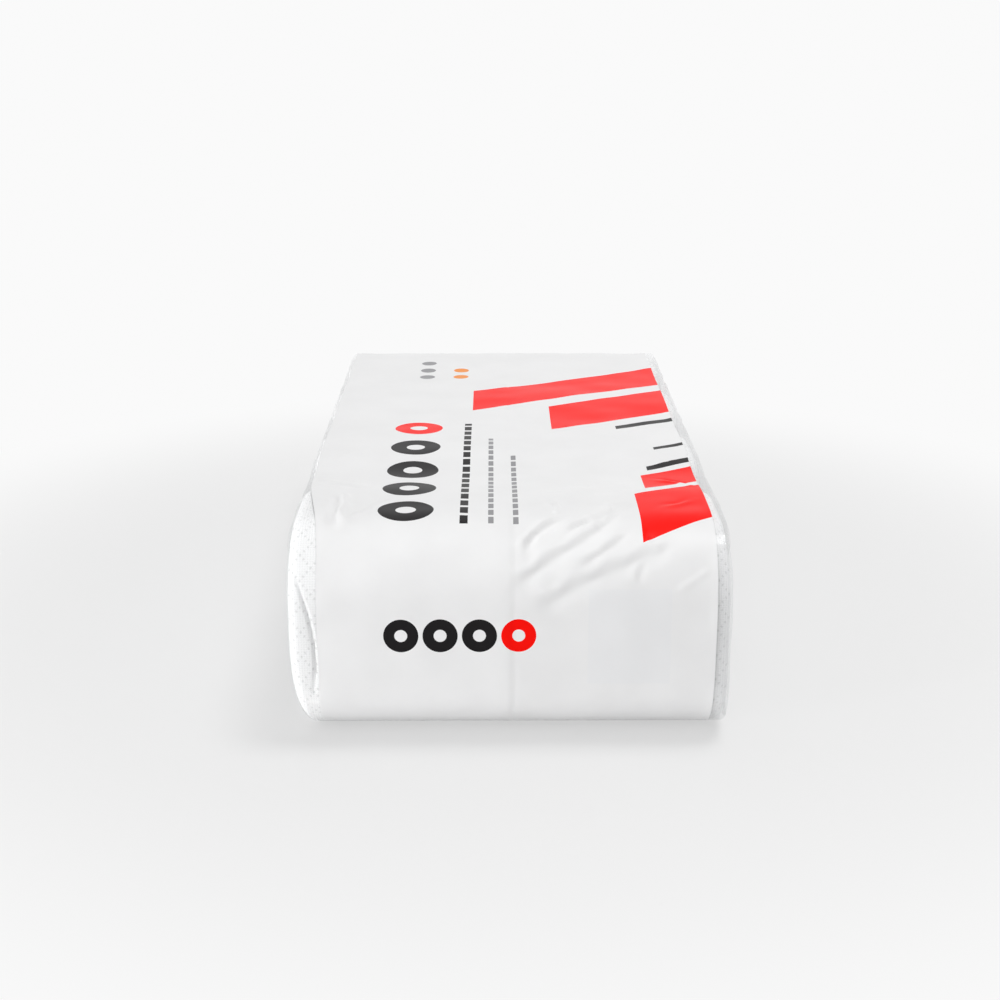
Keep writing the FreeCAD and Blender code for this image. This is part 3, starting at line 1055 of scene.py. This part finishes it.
@dataclass
class ClearEnd:
    """The clear film over one end: its rounded edge, its end face and its folded flaps."""

    layout: PackLayout
    relief: FilmRelief
    shape: EndShape
    thickness: float = 0.0001
    front_cells: int = 60
    top_cells: int = 250
    tube_rings: int = 8
    edge_rings: int = 9
    least_tube: float = 0.0003
    least_turn: float = 0.001
    flap_tip: float = 0.13195
    flap_overlap: float = 0.014
    layer: float = 0.00035
    flap_columns: int = 190
    flap_rows: int = 34
    flap_root_gap: float = 0.0004
    flap_margin: float = 0.0003
    flap_lift: float = 0.00005
    tip_waver: float = 0.0005
    wrinkle_height: float = 0.00022
    lower_layers: float = 1.6
    upper_layers: float = 2.6
    weld_height: float = 0.006
    weld_margin: float = 0.001
    weld_lift: float = 0.00012
    weld_columns: int = 260
    weld_rows: int = 21
    weld_ribs: int = 5
    rib_height: float = 0.00012

    @property
    def tag(self) -> str:
        """The side's name, in small letters."""
        return self.shape.side.name.lower()

    def ring_girths(self) -> np.ndarray:
        """Girths of the ring, side by side from the lower front corner upwards."""
        top_front, top_back, low_back, low_front = self.relief.outline.corners
        start = low_front - self.relief.outline.length
        marks = [start, top_front, top_back, low_back, low_front]
        counts = [self.front_cells, self.top_cells, self.front_cells, self.top_cells]
        parts = [np.linspace(a, b, n, endpoint=False)
                 for a, b, n in zip(marks[:-1], marks[1:], counts)]
        return np.concatenate(parts)

    def build(self, finish: ClearFilmFinish, weld_finish: ClearFilmFinish) -> None:
        """Make the end film and its flaps, and dress them."""
        rings = self._rings()
        patch, patch_faces = self._face(rings[-1])
        count = rings.shape[1]
        faces = MeshMaker.grid_faces(len(rings), count, False, True)
        points = np.vstack([rings.reshape(-1, 3), patch])
        faces = np.vstack([faces, patch_faces])
        if self.shape.side is EndSide.RIGHT:
            faces = faces[:, ::-1]
        end = MeshMaker.build(f"film_end_{self.tag}", points, faces)
        MeshMaker.thicken(end, self.thickness)
        clear, weld = finish.material(), weld_finish.material()
        dress(end, clear, ("film_wrap",))
        self._flap("lower", -1, self.lower_layers, clear)
        self._flap("upper", 1, self.upper_layers, clear)
        self._weld(weld)

    def _rings(self) -> np.ndarray:
        """Rings of points from the print's edge over the rounded edge to the end face."""
        lay, shape = self.layout, self.shape
        sign = shape.side.value
        girth = self.ring_girths()
        start = abs(lay.print_left if sign < 0 else lay.print_right)
        if sign < 0:
            start = start + self.relief.print_drift(girth)
        plain = self.relief.outline.at(girth)
        recess = shape.recess(plain[:, 1])
        straight = np.maximum(shape.reach - shape.rounding - recess, start + self.least_tube)
        turned = np.maximum(shape.reach - recess - straight, self.least_turn)
        rings = []
        for share in np.linspace(0.0, 1.0, self.tube_rings, endpoint=False):
            x = start + (straight - start) * share
            crinkle = self._crinkle(x, girth) * eased(share, 0.0, 0.3)
            rings.append(self.relief.surface(sign * x, girth, crinkle))
        for turn in np.linspace(0.0, math.pi / 2, self.edge_rings):
            inset = shape.rounding * (1 - math.cos(turn))
            x = straight + turned * math.sin(turn)
            height = self.relief.height(sign * x, girth) * math.cos(turn) ** 2
            height += self._crinkle(x, girth) * math.cos(turn)
            y, z, _, _ = self.relief.outline.at(girth, inset - height).T
            face = shape.face_relief(y, z) * math.sin(turn) ** 4
            rings.append(np.stack([sign * (x + face), y, z], -1))
        return np.array(rings)

    def _crinkle(self, x: np.ndarray, girth: np.ndarray) -> np.ndarray:
        """Height of the small wrinkles in the clear film round the end's edge."""
        z = self.relief.outline.at(girth)[..., 1]
        waves = np.sin(girth * 820.0 + x * 260.0) * np.sin(girth * 143.0 - x * 90.0 + 1.0)
        waves = waves + 0.6 * np.sin(girth * 1290.0 - x * 610.0)
        return self.shape.crinkle * waves * eased(z, 0.004, 0.02)

    def _face(self, ring: np.ndarray) -> tuple[np.ndarray, np.ndarray]:
        """Points and faces that close the last ring with an even grid.

        Args:
            ring: The last ring's points.

        Returns:
            The points inside the ring, and the faces that join them to it.
        """
        front, top = self.front_cells, self.top_cells
        total = len(ring)
        base = (self.tube_rings + self.edge_rings - 1) * total
        numbers = np.zeros((top + 1, front + 1), int)
        numbers[0, :] = np.arange(0, front + 1)
        numbers[:, front] = np.arange(front, front + top + 1)
        numbers[top, ::-1] = np.arange(front + top, 2 * front + top + 1)
        numbers[::-1, 0] = np.arange(2 * front + top, total + 1) % total
        low, high = ring[numbers[:, 0], 1:], ring[numbers[:, front], 1:]
        near, far = ring[numbers[0], 1:], ring[numbers[top], 1:]
        s = np.linspace(0.0, 1.0, top + 1)[:, None, None]
        t = np.linspace(0.0, 1.0, front + 1)[None, :, None]
        flat = (1 - t) * low[:, None] + t * high[:, None] + (1 - s) * near[None] + s * far[None]
        flat -= (1 - s) * (1 - t) * near[0] + s * (1 - t) * far[0]
        flat -= (1 - s) * t * near[-1] + s * t * far[-1]
        y, z = flat[1:-1, 1:-1, 0], flat[1:-1, 1:-1, 1]
        inside = np.stack([self.shape.face_x(y, z), y, z], -1).reshape(-1, 3)
        all_numbers = numbers + base
        first_inside = base + total
        all_numbers[1:-1, 1:-1] = first_inside + np.arange(len(inside)).reshape(y.shape)
        corners = [all_numbers[:-1, :-1], all_numbers[:-1, 1:], all_numbers[1:, 1:],
                   all_numbers[1:, :-1]]
        faces = np.stack(corners, -1).reshape(-1, 4)[:, ::-1]
        return inside, faces

    def _half_width(self, z: np.ndarray, way: int) -> np.ndarray:
        """Half the flap's width at a height, slanted at 45 degrees and held inside the outline."""
        lay, shape = self.layout, self.shape
        tip_z = lay.axis_height - way * self.flap_overlap / 2
        slanted = self.flap_tip + np.abs(z - tip_z)
        corner = lay.roll_half - lay.roll_flat / 2 + lay.film_offset - shape.rounding
        rise = np.clip(np.abs(z - lay.axis_height) - lay.roll_flat / 2, 0.0, corner)
        side = lay.row_y(lay.rows - 1) + lay.roll_flat / 2
        limit = side + np.sqrt(np.maximum(corner ** 2 - rise ** 2, 0.0))
        return np.minimum(slanted, limit - self.flap_margin)

    def _flap(self, name: str, way: int, layers: float, material: bpy.types.Material) -> None:
        """Make one folded flap.

        Args:
            name: Its name.
            way: 1 for the flap folded down from the top, -1 for the one folded up.
            layers: How many layers of film lie under its outer face.
            material: Its material.
        """
        lay, shape = self.layout, self.shape
        root = lay.axis_height - shape.rounding - self.flap_root_gap
        base_z = lay.axis_height + way * root
        tip_z = lay.axis_height - way * self.flap_overlap / 2
        across, down = np.meshgrid(np.linspace(-1.0, 1.0, self.flap_columns),
                                   np.linspace(0.0, 1.0, self.flap_rows), indexing="ij")
        z = base_z + (tip_z - base_z) * down
        z += self.tip_waver * np.sin(across * 23.0) * eased(down, 0.8, 1.0)
        y = across * self._half_width(z, way)
        lift = self.layer * layers * eased(down, -0.2, 0.5)
        wrinkle = self.wrinkle_height * np.sin(y * 260.0 + 5.0 * z / lay.axis_height)
        wrinkle *= np.sin(y * 71.0 + way) * (1.0 - down)
        x = shape.face_x(y, z) + shape.side.value * (lift + wrinkle + self.flap_lift)
        flipped = (shape.side is EndSide.RIGHT) != (way > 0)
        flap = MeshMaker.sheet(f"film_flap_{name}_{self.tag}", np.stack([x, y, z], -1), flipped,
                               self.thickness)
        dress(flap, material, ("film_wrap",))

    def _weld(self, material: bpy.types.Material) -> None:
        """Make the welded band along the middle of the flaps."""
        lay, shape = self.layout, self.shape
        half = self.flap_tip - self.weld_margin
        y, share = np.meshgrid(np.linspace(-half, half, self.weld_columns),
                               np.linspace(-0.5, 0.5, self.weld_rows), indexing="ij")
        z = lay.axis_height + share * self.weld_height
        ribs = self.rib_height * np.cos(share * 2 * math.pi * self.weld_ribs)
        x = shape.face_x(y, z, 3 * self.layer + self.weld_lift) + shape.side.value * ribs
        band = MeshMaker.sheet(f"film_weld_{self.tag}", np.stack([x, y, z], -1),
                               shape.side is EndSide.LEFT, self.thickness)
        dress(band, material, ("film_wrap",))


@dataclass
class PaperRoll:
    """One wound roll, pressed to a rounded square."""

    layout: PackLayout
    relief: FilmRelief
    shape: EndShape
    row: int
    around: int
    end_rings: int = 30
    hidden_columns: int = 9
    hidden_margin: float = 0.008
    shown_step: float = 0.0008
    edge_rings: int = 12
    corner_points: int = 40
    back_points: int = 6
    face_setback: float = 0.0002
    face_ripple: float = 0.00012
    row_gap: float = 0.0001
    pressed_in: float = -0.0022
    pushed_out: float = 0.0001
    swell_from: float = -0.0025
    swell_to: float = -0.0005
    lean_from: float = 0.06
    lean_to: float = 0.092
    seed: int = 40
    seeds_per_side: int = 10
    dent: LeafDent | None = None

    @property
    def name(self) -> str:
        """The CAD node's name."""
        return f"paper_roll_{self.shape.side.name.lower()}_{self.row + 1}"

    @property
    def print_edge(self) -> float:
        """Distance of the print's edge from the pack's middle, on this side."""
        lay = self.layout
        return abs(lay.print_left if self.shape.side is EndSide.LEFT else lay.print_right)

    def square(self) -> np.ndarray:
        """Outline of the pressed roll: y, z from its axis and outward normal y, z."""
        lay = self.layout
        half_flat = lay.roll_flat / 2
        corner = lay.roll_half - half_flat
        parts = []
        for start, y_sign, z_sign in ((0, 1, 1), (90, -1, 1), (180, -1, -1), (270, 1, -1)):
            angles = np.radians(np.linspace(start, start + 90, self.corner_points))
            parts.append(np.c_[y_sign * half_flat + corner * np.cos(angles),
                               z_sign * half_flat + corner * np.sin(angles),
                               np.cos(angles), np.sin(angles)])
        line = np.vstack([*parts, parts[0][:1]])
        run = np.r_[0.0, np.cumsum(np.linalg.norm(np.diff(line[:, :2], axis=0), axis=1))]
        marks = np.linspace(0.0, run[-1], self.around, endpoint=False)
        return np.stack([np.interp(marks, run, column) for column in line.T], -1)

    def swell(self, x: np.ndarray, square: np.ndarray) -> np.ndarray:
        """How far the paper stands off its plain outline: out to the clear film, in under print.

        Args:
            x: Distance of the places from the pack's middle.
            square: The roll's plain outline.

        Returns:
            Heights over the plain outline, in metres.
        """
        edge = self.print_edge
        if self.shape.side is EndSide.LEFT:
            over = self.relief.outline.girth_over(square[:, 0] + self.layout.row_y(self.row))
            edge = edge + self.relief.print_drift(over) * eased(square[:, 3], 0.0, 0.3)
        out = self.pushed_out - self.shape.paper_gap
        share = eased(x - edge, self.swell_from, self.swell_to)
        return self.pressed_in + (out - self.pressed_in) * share

    def section(self) -> np.ndarray:
        """Closed half-section: x and radial share, from the core outwards and back."""
        lay = self.layout
        inner, outer = lay.roll_inner_x, lay.roll_end_x
        edge = lay.roll_edge
        depth = lay.roll_half - lay.bore_radius
        seed = self.seed + self.row + self.seeds_per_side * self.shape.side.value
        draw = np.random.default_rng(seed)
        share = np.linspace(0.0, 1.0 - edge / depth, self.end_rings)
        ripple = np.r_[0.0, draw.normal(0.0, self.face_ripple, self.end_rings - 2), 0.0]
        face = np.c_[outer - self.face_setback + ripple, share]
        turn = np.linspace(0.0, math.pi / 2, self.edge_rings)[1:]
        rounding = np.c_[outer - self.face_setback - edge * (1 - np.cos(turn)),
                         1.0 - edge * (1 - np.sin(turn)) / depth]
        turn_in = self.print_edge - self.hidden_margin
        shown = np.arange(outer - edge - self.shown_step, turn_in, -self.shown_step)
        hidden = np.linspace(turn_in, inner + edge, self.hidden_columns)[:-1]
        sides = np.r_[shown, hidden]
        side = np.c_[sides, np.ones_like(sides)]
        back = rounding[::-1].copy()
        back[:, 0] = inner + outer - back[:, 0]
        count = self.back_points
        inner_face = np.c_[np.full(count, inner), np.linspace(1.0 - edge / depth, 0.0, count)]
        bore = np.c_[np.linspace(inner, outer, count)[1:-1], np.zeros(count - 2)]
        return np.vstack([face, rounding, side, back, inner_face, bore])

    def build(self, material: bpy.types.Material) -> None:
        """Make the roll and dress it."""
        lay, shape = self.layout, self.shape
        sign = shape.side.value
        square, section = self.square(), self.section()
        length = self._girth(square)
        run = np.linspace(0.0, 1.0, self.around, endpoint=False) * length
        angle = np.arctan2(square[:, 1], square[:, 0])
        circle = lay.bore_radius * np.c_[np.cos(angle), np.sin(angle)]
        share = section[:, 1][:, None, None]
        swell = self.swell(section[:, :1], square)
        outer = square[None, :, :2] + swell[..., None] * square[None, :, 2:]
        if self.dent is not None:
            girth = self._front_run(square) - run
            pressed = self.dent.depth(sign * section[:, 0][:, None], girth[None])
            outer = outer - pressed[..., None] * square[None, :, 2:]
        flat = (1 - share) * circle[None] + share * outer
        half_pitch = (lay.row_pitch - self.row_gap) / 2
        low = -np.inf if self.row == 0 else -half_pitch
        high = np.inf if self.row == lay.rows - 1 else half_pitch
        flat[..., 0] = np.clip(flat[..., 0], low, high)
        z = flat[..., 1] + lay.axis_height
        y = flat[..., 0] + lay.row_y(self.row)
        x = section[:, 0][:, None] * np.ones(self.around)[None]
        x = x - shape.recess(z) * eased(x, self.lean_from, self.lean_to)
        points = np.stack([sign * x, y, z], -1).reshape(-1, 3)
        faces = MeshMaker.grid_faces(len(section), self.around, True, True)
        place = np.stack([x, np.broadcast_to(run, x.shape),
                          np.hypot(flat[..., 0], flat[..., 1])], -1).reshape(-1, 3)
        corners = place[faces.ravel()].reshape(-1, 4, 3)
        closing = (faces % self.around == 0) & (faces[:, ::-1] % self.around != 0)
        wrapped = np.any(faces % self.around == self.around - 1, axis=1)
        corners[..., 1] += np.where(closing & wrapped[:, None], length, 0.0)
        if sign < 0:
            faces, corners = faces[:, ::-1], corners[:, ::-1]
        roll = MeshMaker.build(self.name + "_paper", points, faces, "paper_place",
                               corners.reshape(-1, 3))
        dress(roll, material, (self.name,))

    def _front_run(self, square: np.ndarray) -> float:
        """Run along the outline from its start to the middle of the front."""
        front = int(np.argmin(square[:, 0] + 0.01 * np.abs(square[:, 1])))
        return front / self.around * self._girth(square)

    @staticmethod
    def _girth(square: np.ndarray) -> float:
        """Length round the roll."""
        closed = np.vstack([square, square[:1]])[:, :2]
        return float(np.linalg.norm(np.diff(closed, axis=0), axis=1).sum())


@dataclass(frozen=True)
class SoftLamp:
    """A square lamp that faces a point, hidden from the camera."""

    name: str
    place: tuple[float, float, float]
    target: tuple[float, float, float]
    size: float
    watts: float

    def hang(self) -> None:
        """Hang the lamp in the scene."""
        lamp = bpy.data.lights.new(self.name, "AREA")
        lamp.shape = "SQUARE"
        lamp.size = self.size
        lamp.energy = self.watts
        hung = bpy.data.objects.new(self.name, lamp)
        hung.visible_camera = False
        hung.location = self.place
        way = np.array(self.target) - np.array(self.place)
        hung.rotation_euler = (math.atan2(math.hypot(way[0], way[1]), -way[2]), 0.0,
                               math.atan2(way[1], way[0]) - math.pi / 2)
        bpy.context.scene.collection.objects.link(hung)


STUDIO_LAMPS = (
    SoftLamp("overhead", (0.15, 0.45, 1.5), (0.0, 0.0, 0.0), 1.6, 5.5),
    SoftLamp("key", (0.35, -0.15, 1.55), (0.0, 0.0, 0.05), 0.5, 9.5),
    SoftLamp("front_fill", (-0.4, -2.0, 0.5), (0.0, 0.0, 0.05), 1.2, 2.8),
    SoftLamp("left_wall", (-1.1, -0.8, 0.1), (0.0, -0.1, 0.05), 0.2, 8.5),
    SoftLamp("right_wall", (1.2, 0.8, 0.3), (0.0, 0.0, 0.05), 0.5, 0.6),
)


@dataclass
class Studio:
    """Floor, light and camera of the photograph."""

    eye: tuple[float, float, float] = (-0.00732, -0.83874, 0.32112)
    pitch_down: float = 17.76
    turn_right: float = 0.285
    lens_mm: float = 57.92
    sensor_mm: float = 36.0
    floor_size: float = 60.0
    floor_level: float = -0.0001
    world_level: float = 0.41
    backdrop: float = 0.955
    lamps: tuple[SoftLamp, ...] = STUDIO_LAMPS

    def build(self) -> None:
        """Make the floor, lights, world and camera."""
        self._floor()
        self._world()
        for lamp in self.lamps:
            lamp.hang()
        self._camera()

    def _floor(self) -> None:
        """Make the floor."""
        half, level = self.floor_size / 2, self.floor_level
        points = np.array([[-half, -half, level], [half, -half, level], [half, half, level],
                           [-half, half, level]])
        floor = MeshMaker.build("studio_floor", points, np.array([[0, 1, 2, 3]]))
        floor.data.materials.append(FloorFinish().material())

    def _world(self) -> None:
        """Light the scene evenly, and show a pale background to the camera."""
        world = bpy.data.worlds.new("studio")
        world.use_nodes = True
        tree = world.node_tree
        light = tree.nodes["Background"]
        light.inputs["Color"].default_value = (1.0, 1.0, 1.0, 1.0)
        light.inputs["Strength"].default_value = self.world_level
        shown = tree.nodes.new("ShaderNodeBackground")
        shown.inputs["Color"].default_value = (1.0, 1.0, 1.0, 1.0)
        shown.inputs["Strength"].default_value = self.backdrop
        rays = tree.nodes.new("ShaderNodeLightPath")
        seen = rays.outputs["Is Camera Ray"]
        for kind in ("Is Glossy Ray", "Is Transmission Ray"):
            either = tree.nodes.new("ShaderNodeMath")
            either.operation = "MAXIMUM"
            tree.links.new(seen, either.inputs[0])
            tree.links.new(rays.outputs[kind], either.inputs[1])
            seen = either.outputs[0]
        choice = tree.nodes.new("ShaderNodeMixShader")
        tree.links.new(seen, choice.inputs[0])
        tree.links.new(light.outputs[0], choice.inputs[1])
        tree.links.new(shown.outputs[0], choice.inputs[2])
        tree.links.new(choice.outputs[0], tree.nodes["World Output"].inputs["Surface"])
        bpy.context.scene.world = world

    def _camera(self) -> None:
        """Set the camera where the photograph was taken."""
        lens = bpy.data.cameras.new("photo_camera")
        lens.sensor_width = self.sensor_mm
        lens.lens = self.lens_mm
        lens.clip_end = 200.0
        camera = bpy.data.objects.new("photo_camera", lens)
        camera.location = self.eye
        camera.rotation_euler = (math.radians(90.0 - self.pitch_down), 0.0,
                                 -math.radians(self.turn_right))
        bpy.context.scene.collection.objects.link(camera)
        bpy.context.scene.camera = camera
        bpy.context.scene.view_settings.view_transform = "Standard"


@dataclass
class RollPack:
    """The whole pack."""

    layout: PackLayout = field(default_factory=PackLayout)
    plain_around: int = 220
    dented_around: int = 420

    def build(self) -> None:
        """Build every piece of the pack."""
        outline = FilmOutline(self.layout)
        relief = FilmRelief(self.layout, outline)
        FilmSleeve(self.layout, relief).build(PrintedFilmFinish())
        clear = ClearFilmFinish("clear_film", alpha=0.09, roughness=0.14)
        weld = ClearFilmFinish("welded_film", alpha=0.3, roughness=0.25)
        tissue = TissueFinish().material()
        left = EndShape(self.layout, EndSide.LEFT, reach=0.0965, rounding=0.0047, lean_up=0.0004,
                        lean_down=0.0065, crinkle=0.00004, paper_gap=0.0)
        right = EndShape(self.layout, EndSide.RIGHT, reach=0.0965, rounding=0.0022, lean_up=0.001,
                         lean_down=-0.0013, crinkle=0.00016, paper_gap=0.0011)
        for shape in (left, right):
            ClearEnd(self.layout, relief, shape).build(clear, weld)
            for row in range(self.layout.rows):
                dented = row == 0 and shape.side is EndSide.LEFT
                dent = LeafDent() if dented else None
                around = self.dented_around if dented else self.plain_around
                PaperRoll(self.layout, relief, shape, row, around, dent=dent).build(tissue)
        self._cores(BoardFinish().material())

    @staticmethod
    def _cores(material: bpy.types.Material) -> None:
        """Give the CAD cores their cardboard."""
        for name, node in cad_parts.items():
            if name.startswith("cardboard_core"):
                node.data.materials.clear()
                node.data.materials.append(material)
                LOG.info("dressed %s", name)


def main() -> None:
    """Build the pack and its studio."""
    logging.basicConfig(level=logging.INFO, format="%(message)s")
    RollPack().build()
    Studio().build()


if __name__ == "__main__":
    main()
